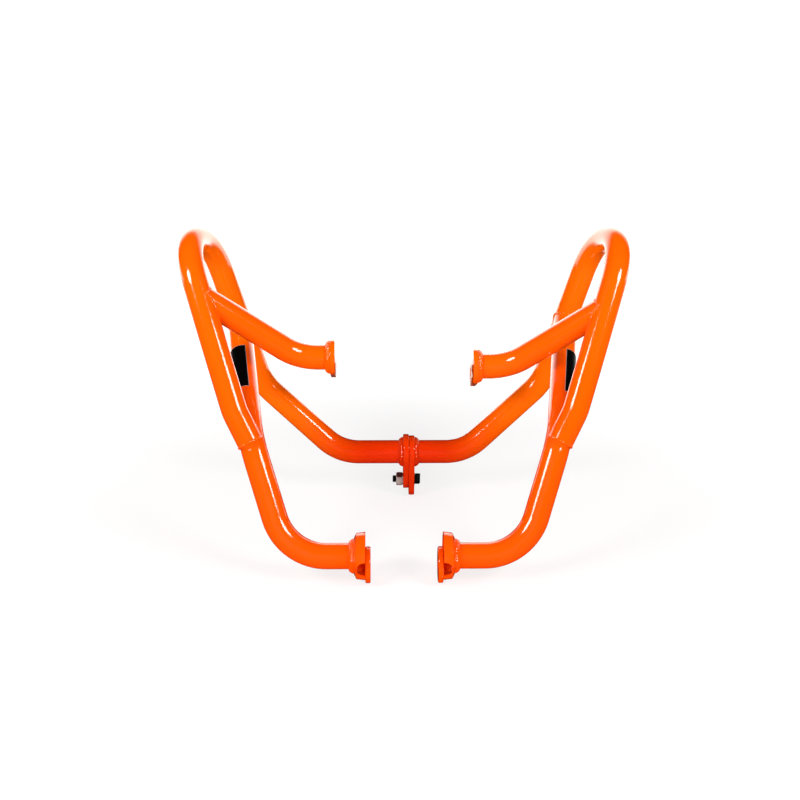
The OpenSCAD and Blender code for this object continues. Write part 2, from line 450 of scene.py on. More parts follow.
def coat_tone_group() -> bpy.types.NodeTree:
    """Builds the shared group that paints light and shade into a coat's colour slowly over the bars.

    Returns:
        The node group, whose colour goes from upper to low with the height, to rear towards the back
        and to crossbar round the middle of the crossbar.
    """
    found = bpy.data.node_groups.get("coat_tone")
    if found:
        return found
    graph, begin, finish = new_group(
        "coat_tone", {"Vector": "Vector", **dict.fromkeys(PAINTED_SHADING_INPUTS, "Color")}, {"Color": "Color"},
    )
    x, y, z = graph.split(begin["Vector"])
    # Where the painted shade of the crossbar lies.
    crossbar = graph.ramp(graph.calculate("ABSOLUTE", x), CROSSBAR_SHADE_OUT, 1, 0)
    for share in (graph.ramp(y, CROSSBAR_SHADE_BACK, 0, 1), graph.ramp(z, CROSSBAR_SHADE_UP, 1, 0)):
        crossbar = graph.calculate("MULTIPLY", crossbar, share)
    # Shares of the painted shade low down, the painted light at the back and the crossbar's painted shade.
    shares = (graph.ramp(z, SHADE_LOW_DOWN, 1, 0), graph.ramp(y, LIGHT_TO_THE_REAR, 0, 1), crossbar)
    colour = begin["Upper"]
    for share, label in zip(shares, PAINTED_SHADING_INPUTS[1:]):
        mix = graph.mix()
        graph.link(*zip((share, colour, begin[label]), (mix.inputs[end] for end in ("Factor", "A", "B"))))
        colour = mix.outputs["Result"]
    graph.link((colour, finish["Color"]))
    return graph.tree


def orange_peel_group() -> bpy.types.NodeTree:
    """Builds the shared group that gives a coating's waviness and fine texture.

    Returns:
        The node group, with a height and a slow mottle from 0 to 1.
    """
    found = bpy.data.node_groups.get("coating_surface")
    if found:
        return found
    graph, begin, finish = new_group(
        "coating_surface",
        {"Vector": "Vector", **dict.fromkeys(("Wave Scale", "Grain Scale", "Grain Share"), "Float")},
        {"Height": "Float", "Mottle": "Float"},
    )
    wave = graph.add("TexNoise", Detail=1.5)
    grain = graph.add("TexNoise", Detail=2.0)
    mottle = graph.add("TexNoise", Scale=14.0, Detail=3.0)
    blend = graph.add("Mix")
    graph.link(
        *((begin["Vector"], texture.inputs["Vector"]) for texture in (wave, grain, mottle)),
        (begin["Wave Scale"], wave.inputs["Scale"]),
        (begin["Grain Scale"], grain.inputs["Scale"]),
        (begin["Grain Share"], blend.inputs["Factor"]),
        (wave.outputs["Fac"], blend.inputs["A"]),
        (grain.outputs["Fac"], blend.inputs["B"]),
        (blend.outputs["Result"], finish["Height"]),
        (mottle.outputs["Fac"], finish["Mottle"]),
    )
    return graph.tree


@dataclass(frozen=True)
class CoatedFinish:
    """A finish with a wavy or grainy surface and slightly uneven colour and gloss.

    Attributes:
        name: Name of the material, which no slot of the record has.
        light: Colour where the mottle is high, linear.
        deep: Colour where the mottle is low, linear, or with painted shading the share of it left there.
        rough_low: Lowest roughness.
        rough_high: Highest roughness.
        metallic: Metallic value.
        coat: Weight of the clear coat.
        wave: Scale of the waves.
        grain: Scale of the grain.
        grain_share: Share of the grain in the height.
        relief: Height of the relief in metres.
        specular: Specular level.
        tones: Linear colours of painted shade low down, painted light at the back and painted
            shade on the crossbar, or none.
        coat_rough: Roughness of the clear coat.
        mottle: Values of the mottle that give the lowest and the highest roughness.
    """

    name: str
    light: Colour
    deep: Colour
    rough_low: float
    rough_high: float
    metallic: float = 0.0
    coat: float = 0.0
    wave: float = 220.0
    grain: float = 1400.0
    grain_share: float = 0.15
    relief: float = 0.00012
    specular: float = 0.5
    # Colours of painted shade low down and on the crossbar and of painted light at the back.
    tones: tuple[Colour, ...] = ()
    coat_rough: float = 0.03
    mottle: tuple[float, float] = (0.3, 0.7)

    def material(self) -> bpy.types.Material:
        """Builds the material, or returns it if it exists.

        Returns:
            The material.
        """
        found = bpy.data.materials.get(self.name)
        if found:
            return found
        material = bpy.data.materials.new(self.name)
        material.use_nodes = True
        graph = Graph(material.node_tree)
        shader = graph.give(
            graph.tree.nodes["Principled BSDF"], Metallic=self.metallic, Coat_Weight=self.coat,
            Coat_Roughness=self.coat_rough, Specular_IOR_Level=self.specular,
        )
        place = graph.add("TexCoord").outputs["Object"]
        surface = graph.add_group(
            orange_peel_group(), Wave_Scale=self.wave, Grain_Scale=self.grain, Grain_Share=self.grain_share,
        )
        colour = graph.give(graph.mix(), A=(*self.deep, 1), B=(*self.light, 1))
        gloss = graph.add(
            "MapRange", From_Min=self.mottle[0], From_Max=self.mottle[1],
            To_Min=self.rough_low, To_Max=self.rough_high,
        )
        bump = graph.add("Bump", Strength=1.0, Distance=self.relief)
        if self.tones:
            self.shift(graph, place, colour)
        graph.link(
            (place, surface.inputs["Vector"]),
            (surface.outputs["Mottle"], colour.inputs["Factor"]),
            (surface.outputs["Mottle"], gloss.inputs["Value"]),
            (colour.outputs["Result"], shader.inputs["Base Color"]),
            (gloss.outputs["Result"], shader.inputs["Roughness"]),
            (surface.outputs["Height"], bump.inputs["Height"]),
            (bump.outputs["Normal"], shader.inputs["Normal"]),
        )
        return material

    def shift(self, graph: Graph, place: Socket, colour: bpy.types.Node) -> None:
        """Lets the mottle's light colour follow the painted light and shade, and the deep one be a share of
        it.

        Args:
            graph: Nodes of the material.
            place: The place on the object.
            colour: The node that mixes the deep and the light colour.
        """
        colours = ((*value, 1) for value in (self.light, *self.tones))
        # Painted shade low down and on the crossbar, painted light towards the back.
        shading_node = graph.add_group(coat_tone_group(), **dict(zip(PAINTED_SHADING_INPUTS, colours)))
        shade = graph.give(graph.mix("MULTIPLY"), Factor=1, B=(*self.deep, 1))
        graph.link(
            (place, shading_node.inputs["Vector"]),
            (shading_node.outputs["Color"], shade.inputs["A"]),
            (shading_node.outputs["Color"], colour.inputs["B"]),
            (shade.outputs["Result"], colour.inputs["A"]),
        )


# The powder coat's colour has painted shade low down and on the crossbar and painted light at the back.
POWDER = CoatedFinish(
    "powder_coat_orange", (1.0, 0.113, 0.0002), (0.99, 0.91, 0.8), 0.07, 0.12, coat=0.4, relief=0.00009,
    tones=((1.0, 0.084, 0.0002), (1.0, 0.150, 0.0002), (0.74, 0.027, 0.0002)),
)
BLACK_STEEL = CoatedFinish(
    "blackened_steel_oiled", (0.009, 0.008, 0.008), (0.004, 0.004, 0.004), 0.28, 0.42, metallic=0.4,
    wave=900, grain=4000, grain_share=0.5, relief=0.00003,
)
ZINC = CoatedFinish(
    "zinc_plating_worn", (0.64, 0.56, 0.53), (0.45, 0.39, 0.36), 0.34, 0.5, metallic=0.3,
    wave=700, grain=3500, grain_share=0.5, relief=0.00001,
)
# Dark brown painted on the nut's upward faces as a reflection of the orange crossbar above.
ZINC_PAINTED_REFLECTION = CoatedFinish(
    "zinc_plating_browned", (0.14, 0.055, 0.045), (0.05, 0.022, 0.02), 0.34, 0.5, metallic=0.6,
    wave=700, grain=3500, grain_share=0.5, relief=0.00003,
)
STICKER_FACE = CoatedFinish(
    "sticker_black_film", (0.002, 0.002, 0.0022), (0.001, 0.001, 0.0011), 0.22, 0.34,
    wave=160, grain=2500, grain_share=0.1, relief=0.00003, specular=0.01,
)
STICKER_EDGE = CoatedFinish(
    "sticker_grey_border", (0.34, 0.35, 0.36), (0.26, 0.27, 0.28), 0.3, 0.4,
    wave=160, grain=2500, grain_share=0.1, relief=0.00003, specular=0.2,
)


def dress(piece: Piece, finish: CoatedFinish) -> None:
    """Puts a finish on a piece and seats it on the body.

    Args:
        piece: The piece.
        finish: Its finish.
    """
    piece.data.materials.clear()
    piece.data.materials.append(finish.material())
    if "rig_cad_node" not in piece:
        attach(piece, BODY)
    log.info("%s: %d faces, %s", piece.name, len(piece.data.polygons), finish.name)


# Tubes


@dataclass
class Tube:
    """One bent tube.

    Attributes:
        name: Name of the piece.
        points: Corner points of its centre line.
        radius: Outside radius.
        sides: Faces round the section.
    """

    name: str
    points: list[Vector]
    radius: float = TUBE_R
    sides: int = 64

    def setback(self, i: int) -> float:
        """Distance from corner i to the start of its bend, 0 at the ends.

        Args:
            i: Number of the corner.

        Returns:
            The distance.
        """
        if i in (0, len(self.points) - 1):
            return 0.0
        return BEND_R * math.tan(self.turn(i) / 2)

    def turn(self, i: int) -> float:
        """Angle by which the centre line turns at corner i."""
        return (self.points[i] - self.points[i - 1]).angle(self.points[i + 1] - self.points[i])

    def centre_line(self, step: float = 0.001) -> list[Vector]:
        """Points along the centre line, about a step apart.

        Args:
            step: Distance between the points in metres.

        Returns:
            The points.
        """
        line = [self.points[0].copy()]
        for i in range(1, len(self.points)):
            ahead = (self.points[i] - self.points[i - 1]).normalized()
            target = self.points[i] - ahead * self.setback(i)
            start = line[-1].copy()
            count = max(1, int((target - start).length / step))
            line += [start.lerp(target, k / count) for k in range(1, count + 1)]
            if i < len(self.points) - 1:
                centre, axis = self.bend_frame(i)
                angle = self.turn(i)
                count = max(2, int(angle * BEND_R / step))
                arm = target - centre
                turns = (Matrix.Rotation(angle * k / count, 3, axis) for k in range(1, count + 1))
                line += [centre + turn @ arm for turn in turns]
        return line

    def bend_frame(self, i: int) -> tuple[Vector, Vector]:
        """Centre and axis of the bend at corner i; the bend turns right-handed about the axis.

        Args:
            i: Number of the corner.

        Returns:
            The centre and the axis.
        """
        inwards = (self.points[i] - self.points[i - 1]).normalized()
        ahead = (self.points[i + 1] - self.points[i]).normalized()
        start = self.points[i] - inwards * self.setback(i)
        to_centre = (ahead - inwards * inwards.dot(ahead)).normalized()
        return start + to_centre * BEND_R, inwards.cross(ahead).normalized()

    def build(self) -> Piece:
        """Extrudes a circle along the straights and spins it round the bends.

        Returns:
            The closed tube.
        """
        first = (self.points[1] - self.points[0]).normalized()
        clear()
        bpy.ops.mesh.primitive_circle_add(
            vertices=self.sides, radius=self.radius, fill_type="NOTHING",
            location=self.points[0], rotation=facing(first).to_euler(),
        )
        piece = fresh(self.name)
        edit(piece)
        last_corner = len(self.points) - 1
        for i in range(1, len(self.points)):
            ahead = (self.points[i] - self.points[i - 1]).normalized()
            length = (self.points[i] - self.points[i - 1]).length - self.setback(i) - self.setback(i - 1)
            bpy.ops.mesh.extrude_edges_move(TRANSFORM_OT_translate={"value": ahead * length})
            if i < last_corner:
                centre, axis = self.bend_frame(i)
                steps = max(3, round(math.degrees(self.turn(i)) / 3))
                bpy.ops.mesh.spin(steps=steps, angle=-self.turn(i), center=centre, axis=axis)
        leave()
        settle(piece)
        close_up(piece)
        smooth(piece, 30)
        return piece


# Welds


def distance_to(point: Vector, line: list[Vector]) -> float:
    """Distance from a point to the nearest point of a finely divided line."""
    return min((point - q).length_squared for q in line) ** 0.5


def seam(
    end: Vector, away: Vector, radius: float, target: list[Vector], count: int, reach: float,
) -> list[Vector]:
    """Follows the line on which a round tube meets another tube.

    Args:
        end: Point on the tube's axis at or in the other tube.
        away: Direction of the tube away from the other tube.
        radius: Radius of both tubes.
        target: Centre line of the other tube.
        count: Number of points round the tube.
        reach: Distance from the end at which the tube is surely clear of the other.

    Returns:
        Points of the closed seam.
    """
    turn = facing(away)
    near = [q for q in target if (q - end).length < reach + 2 * radius]
    points = []
    for k in range(count):
        phi = 2 * math.pi * k / count
        rim = end + turn @ Vector((radius * math.cos(phi), radius * math.sin(phi), 0))
        far, close = reach, 0.0
        if distance_to(rim, near) < radius:
            for _ in range(14):
                middle = (far + close) / 2
                inside = distance_to(rim + away * middle, near) < radius
                close, far = (middle, far) if inside else (close, middle)
        else:
            far = 0.0
        points.append(rim + away * far)
    return points


@dataclass
class Bead:
    """A weld bead of overlapping ripples along a closed line.

    Attributes:
        name: Name of the piece.
        line: Points of the line.
        across: Half width of a ripple across the line.
        high: Half height of a ripple.
        pitch: Distance between ripples.
        slant: Direction of a ripple's width at each point, or none for a round bead.
        grain: Size of the remeshing.
        overlap: Half length of a ripple as a share of the pitch.
        extra: Further pieces that are fused with the ripples.
    """

    name: str
    line: list[Vector]
    across: float = 2.3 * MM
    high: float = 2.3 * MM
    pitch: float = 2.3 * MM
    slant: list[Vector] = field(default_factory=list)
    grain: float = 0.5 * MM
    overlap: float = 0.78
    extra: list[Piece] = field(default_factory=list)

    def stations(self) -> list[tuple[Vector, Vector, Vector]]:
        """Evenly spaced places on the line, each with its direction and slant.

        Returns:
            Place, direction and slant of each.
        """
        closed = [*self.line, self.line[0]]
        lengths = [(b - a).length for a, b in zip(closed, closed[1:])]
        total = sum(lengths)
        count = max(6, round(total / self.pitch))
        found, i, passed = [], 0, 0.0
        for k in range(count):
            goal = total * k / count
            while passed + lengths[i] < goal:
                passed += lengths[i]
                i += 1
            share = (goal - passed) / lengths[i] if lengths[i] else 0.0
            place = closed[i].lerp(closed[i + 1], share)
            slant = self.slant[i] if self.slant else Vector((0, 0, 1))
            found.append((place, (closed[i + 1] - closed[i]).normalized(), slant))
        return found

    def build(self) -> Piece:
        """Models one ripple, copies it along the line and fuses the copies.

        Returns:
            The bead.
        """
        clear()
        bpy.ops.mesh.primitive_uv_sphere_add(segments=12, ring_count=8, radius=1)
        ripple = fresh("ripple")
        ripple.scale = (self.pitch * self.overlap, self.across, self.high)
        settle(ripple)
        copies = [*self.extra]
        for k, (place, ahead, slant) in enumerate(self.stations()):
            side = (slant - ahead * slant.dot(ahead)).normalized()
            up = ahead.cross(side)
            turn = Matrix((ahead, side, up)).transposed().to_4x4()
            swell = 1 + 0.06 * math.sin(k * 2.4) + 0.04 * math.sin(k * 5.1)
            copy = ripple.copy()
            copy.data = ripple.data.copy()
            copy.matrix_world = Matrix.Translation(place) @ turn @ Matrix.Scale(swell, 4)
            bpy.context.scene.collection.objects.link(copy)
            copies.append(copy)
        bpy.data.objects.remove(ripple, do_unlink=True)
        bead = join(copies, self.name)
        settle(bead)
        fuse = bead.modifiers.new("fuse", "REMESH")
        fuse.mode = "VOXEL"
        fuse.voxel_size = self.grain
        relax = bead.modifiers.new("relax", "SMOOTH")
        relax.factor = 0.5
        relax.iterations = 1
        apply_modifiers(bead)
        smooth(bead, 180)
        return bead


# Halves


@dataclass(frozen=True)
class Layout:
    """Corner points and distances that both halves share, in millimetres.

    Each point is given by its distance out from the middle plane, back from the lower mounts and up.

    Attributes:
        leg_foot: Where the front leg starts in the knee.
        knee: Corner of the brace tube.
        hoop_front: Front corner at the top of the hoop.
        hoop_rear: Rear corner at the top of the hoop.
        rear_knee: Corner between the rear leg and the crossbar's leg.
        brace_top: Where the brace leaves the rear leg.
        crossbar: Corner between the crossbar's leg and the crossbar.
        lower: Corner between the lower leg and the run to the lower bracket.
        leg_bend_up: Height of the front leg's bend.
        leg_bow: How far that bend stands out of the straight line.
        arm_corner_out: Distance out of the arm's corner.
        arm_end_out: Distance out of the arm's end.
        arm_back: Distance back of the arm's end.
        joint_seat: How far outside the joint's face the crossbar ends.
        lower_seat: How far outside the lower mount plate's inner face the brace tube ends.
    """

    leg_foot: tuple[float, float, float] = (148, 39.5, 128)
    knee: tuple[float, float, float] = (148, 43, 130)
    hoop_front: tuple[float, float, float] = (213.5, 123, 302)
    hoop_rear: tuple[float, float, float] = (199, 211, 285)
    rear_knee: tuple[float, float, float] = (150, 213, 124)
    brace_top: tuple[float, float, float] = (171.9, 212.1, 196)
    crossbar: tuple[float, float, float] = (67, 195, 50)
    lower: tuple[float, float, float] = (114, 0, 27)
    leg_bend_up: float = 155
    leg_bow: float = 5
    arm_corner_out: float = 105
    arm_end_out: float = 74
    arm_back: float = 130
    joint_seat: float = 6
    lower_seat: float = 16


@dataclass(frozen=True)
class Welds:
    """Sizes of the welds. Three sizes of a ripple are its half width, its half height and the pitch.

    Attributes:
        around: Points round a tube.
        saddle_sink: How deep the beads of the arm and the brace lie in their tube.
        saddle_reach: Length of tube on which their seam is looked for.
        saddle_ripple: Sizes of their ripples.
        leg_sink: How deep the bead of the front leg lies in the tube.
        leg_reach: Length of tube on which its seam is looked for.
        leg_ripple: Sizes of its ripples.
        toe_low: Radius of the low end of the cone that fills the front leg's foot.
        toe_high: Radius of its high end.
        toe_length: Its length.
        toe_back: How far its middle lies behind the foot, in millimetres.
        ring_ripple: Sizes of the ripples of a fillet round a plate.
        ring_length: Length of such a fillet along the tube, in millimetres as the next ones.
        ring_sink: How far its line lies inside its radial size.
        ring_out: How far its line lies off the plate.
        mount_leg: Radial size of the fillets at the mounts.
        joint_leg: Radial size of the fillet at the joint.
    """

    around: int = 72
    saddle_sink: float = 0.5 * MM
    saddle_reach: float = 45 * MM
    saddle_ripple: tuple[float, float, float] = (1.9 * MM, 1.9 * MM, 2.6 * MM)
    leg_sink: float = 1.1 * MM
    leg_reach: float = 40 * MM
    leg_ripple: tuple[float, float, float] = (1.7 * MM, 1.7 * MM, 2.5 * MM)
    toe_low: float = 8.2 * MM
    toe_high: float = 12.3 * MM
    toe_length: float = 6.5 * MM
    toe_back: float = 3.0
    ring_ripple: tuple[float, float, float] = (3.9 * MM, 2.3 * MM, 2.2 * MM)
    ring_length: float = 6.5
    ring_sink: float = 3.0
    ring_out: float = 1.6
    mount_leg: float = 4.4
    joint_leg: float = 3.8


LAYOUT = Layout()
WELDS = Welds()
ROUNDINGS = {
    "upper_mount_plate": 1.0 * MM, "lower_bracket": 1.5 * MM,
    "lower_mount_plate": 1.1 * MM, "centre_plate": 0.8 * MM,
}


@dataclass
class Half:
    """One half of the pair: three tubes, three plates, a bracket and the welds between them.

    Attributes:
        side: Which half it is.
        arm_height: Height of the arm's end.
        arm_root: Height at which the arm leaves the front leg.
        lower_in: Distance of the lower mount plate's inner face from the middle plane.
        joint: Distance of the joint's face from the middle plane, outwards.
        film: Start and end of the sticker along the brace, and the angle of its inner edge.
        tubes: The three tubes by name.
    """

    side: Side
    arm_height: float
    arm_root: float
    lower_in: float
    joint: float
    film: tuple[float, float, float]
    tubes: dict[str, Tube] = field(default_factory=dict)

    def point(self, out: float, back: float, height: float) -> Vector:
        """A point of this half, from millimetres."""
        return at(self.side, out, back, height)

    def centre_end(self) -> Vector:
        """Where the crossbar ends in the centre plate."""
        return self.point(self.joint + LAYOUT.joint_seat, *LAYOUT.crossbar[1:])

    def lower_end(self) -> Vector:
        """Where the brace tube ends in the lower bracket."""
        return self.point(self.lower_in + LAYOUT.lower_seat, *LAYOUT.lower[1:])

    def arm_end(self) -> Vector:
        """Where the arm ends at the upper mount plate."""
        return self.point(LAYOUT.arm_end_out, LAYOUT.arm_back, self.arm_height)

    def lay_out(self) -> None:
        """Sets the centre lines of the three tubes."""
        corners = (LAYOUT.leg_foot, LAYOUT.hoop_front, LAYOUT.hoop_rear, LAYOUT.rear_knee)
        foot, front, rear, rear_knee = (self.point(*corner) for corner in corners)
        straight = along(foot, front, LAYOUT.leg_bend_up * MM)
        bend = straight + self.point(LAYOUT.leg_bow, 0, 0) - self.point(0, 0, 0)
        lines = {
            "hoop": [foot, bend, front, rear, rear_knee, self.point(*LAYOUT.crossbar), self.centre_end()],
            "brace": [
                along(rear, rear_knee, LAYOUT.brace_top[2] * MM), self.point(*LAYOUT.knee),
                self.point(*LAYOUT.lower), self.lower_end(),
            ],
            "arm": [
                along(bend, front, self.arm_root * MM),
                self.point(LAYOUT.arm_corner_out, LAYOUT.arm_back, self.arm_height), self.arm_end(),
            ],
        }
        self.tubes = {key: Tube(f"{self.side.label}_{key}", line) for key, line in lines.items()}

    def coat(self, piece: Piece, node: str) -> None:
        """Coats a piece and lets it stand for one of this half's nodes.

        Args:
            piece: The piece.
            node: The node, without the half's word.
        """
        dress(piece, POWDER)
        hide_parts(f"{self.side.label}_{node}")

    def build_tubes(self) -> None:
        """Models and dresses the three tubes."""
        nodes = {"hoop": "hoop_tube", "brace": "brace_tube", "arm": "upper_arm"}
        for key, tube in self.tubes.items():
            self.coat(tube.build(), nodes[key])

    def build_bead(
        self, node: str, line: list[Vector], sizes: tuple[float, float, float], **more: list,
    ) -> None:
        """Models and dresses the bead of one weld.

        Args:
            node: The weld.
            line: Points of the bead's line.
            sizes: Half width, half height and pitch of its ripples.
            more: Further fields of the bead.
        """
        self.coat(Bead(f"{self.side.label}_{node}_bead", line, *sizes, **more).build(), node)

    def build_saddles(self) -> None:
        """Models the beads where tubes meet tubes."""
        hoop, brace, arm = (self.tubes[k] for k in ("hoop", "brace", "arm"))
        hoop_line, brace_line = hoop.centre_line(), brace.centre_line()
        for node, tube in (("arm_weld", arm), ("brace_weld", brace)):
            away = (tube.points[1] - tube.points[0]).normalized()
            radius = TUBE_R - WELDS.saddle_sink
            line = seam(tube.points[0], away, radius, hoop_line, WELDS.around, WELDS.saddle_reach)
            self.build_bead(node, line, WELDS.saddle_ripple)
        away = (hoop.points[1] - hoop.points[0]).normalized()
        line = seam(hoop.points[0], away, TUBE_R - WELDS.leg_sink, brace_line, WELDS.around, WELDS.leg_reach)
        clear()
        bpy.ops.mesh.primitive_cone_add(
            vertices=48, radius1=WELDS.toe_low, radius2=WELDS.toe_high, depth=WELDS.toe_length,
            location=hoop.points[0] - away * WELDS.toe_back * MM, rotation=facing(away).to_euler(),
        )
        self.build_bead("front_leg_weld", line, WELDS.leg_ripple, extra=[fresh("toe")])

    def build_rings(self) -> None:
        """Models the fillet welds round the plates."""
        rings = (
            ("upper_plate_weld", self.arm_end(), WELDS.mount_leg),
            ("lower_bracket_weld", self.lower_end(), WELDS.mount_leg),
            ("centre_plate_weld", self.centre_end(), WELDS.joint_leg),
        )
        outwards = Vector((self.side.value, 0, 0))
        for node, foot, leg in rings:
            line, slant = [], []
            for k in range(WELDS.around):
                phi = 2 * math.pi * k / WELDS.around
                radial = Vector((0, math.cos(phi), math.sin(phi)))
                radius = TUBE_R + (leg - WELDS.ring_sink) * MM
                line.append(foot + radial * radius + outwards * WELDS.ring_out * MM)
                slant.append((outwards * WELDS.ring_length - radial * leg).normalized())
            self.build_bead(node, line, WELDS.ring_ripple, slant=slant)

    def dress_plates(self, nodes: dict[str, Piece]) -> None:
        """Rounds the edges of the plates and the bracket as the coating does, and coats them.

        Args:
            nodes: The CAD nodes by name.
        """
        for node, width in ROUNDINGS.items():
            self.coat(rounded_copy(nodes[f"{self.side.label}_{node}"], width), node)

    def build_sticker(self) -> None:
        """Models the black sticker, which follows the top of the brace tube."""
        low, high = self.tubes["brace"].points[1], self.point(*LAYOUT.brace_top)
        Sticker(f"{self.side.label}_sticker", self.side, low, (high - low).normalized(), *self.film).build()


@dataclass
class Sticker:
    """A plain black film sticker with a thin grey border, bent round a tube.

    Attributes:
        name: Name of the piece.
        side: The half that carries it.
        foot: Point of the tube's axis from which lengths are measured.
        axis: Direction of the tube.
        start: Where the sticker starts, in millimetres along the axis.
        end: Where it ends.
        inner: Angle of its inner long edge, in degrees from straight outwards over the top.
        spread: Angle that it covers, in degrees.
        lift: How far the middle of the film lies off the tube.
        border: Width of the grey border.
        thick: Thickness of the film.
    """

    name: str
    side: Side
    foot: Vector
    axis: Vector
    start: float
    end: float
    inner: float
    spread: float = 126
    lift: float = 0.05 * MM
    border: float = 0.45 * MM
    thick: float = 0.12 * MM

    def build(self) -> Piece:
        """Spins an edge round the tube and finishes the film that it leaves.

        Returns:
            The sticker.
        """
        outwards = Vector((self.side.value, 0, 0))
        outwards = (outwards - self.axis * outwards.dot(self.axis)).normalized()
        up = self.axis.cross(outwards) * -self.side.value
        up = up if up.z > 0 else -up
        inner = math.radians(self.inner)
        radial = outwards * math.cos(inner) + up * math.sin(inner)
        length = (self.end - self.start) * MM
        middle = self.foot + self.axis * (self.start + self.end) / 2 * MM + radial * (TUBE_R + self.lift)
        clear()
        turn = Matrix((self.axis, radial.cross(self.axis), radial)).transposed()
        bpy.ops.mesh.primitive_plane_add(size=length, location=middle, rotation=turn.to_euler())
        piece = fresh(self.name)
        settle(piece)
        edit(piece)
        bpy.ops.mesh.select_all(action="DESELECT")
        leave()
        offsets = [(v.co - middle).dot(turn.col[1]) for v in piece.data.vertices]
        for vertex, offset in zip(piece.data.vertices, offsets):
            vertex.select = offset > 0
        bpy.ops.object.mode_set(mode="EDIT")
        bpy.ops.mesh.delete(type="VERT")
        take_all()
        bpy.ops.transform.translate(value=-turn.col[1] * min(offsets))
        towards = 1 if self.axis.cross(radial).dot(outwards) * math.sin(inner) > 0 else -1
        angle = -towards * math.radians(self.spread)
        bpy.ops.mesh.spin(steps=28, angle=angle, center=self.foot, axis=self.axis)
        take_all()
        bpy.ops.mesh.normals_make_consistent(inside=False)
        leave()
        return self.finish(piece)

    def finish(self, piece: Piece) -> Piece:
        """Gives the bent film its border, thickness and materials.

        Args:
            piece: The bent film.

        Returns:
            The same piece.
        """
        edit(piece)
        bpy.ops.mesh.subdivide(number_cuts=1)
        take_all()
        bpy.ops.mesh.inset(thickness=self.border, use_boundary=True)
        leave()
        piece.data.materials.append(STICKER_FACE.material())
        piece.data.materials.append(STICKER_EDGE.material())
        for face in piece.data.polygons:
            face.material_index = 0 if face.select else 1
        film = piece.modifiers.new("film", "SOLIDIFY")
        film.thickness = self.thick
        film.offset = 0
        apply_modifiers(piece)
        smooth(piece, 60)
        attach(piece, BODY)
        log.info("%s: %d faces", piece.name, len(piece.data.polygons))
        return piece


QUARTER_TURN = (0, math.pi / 2, 0)


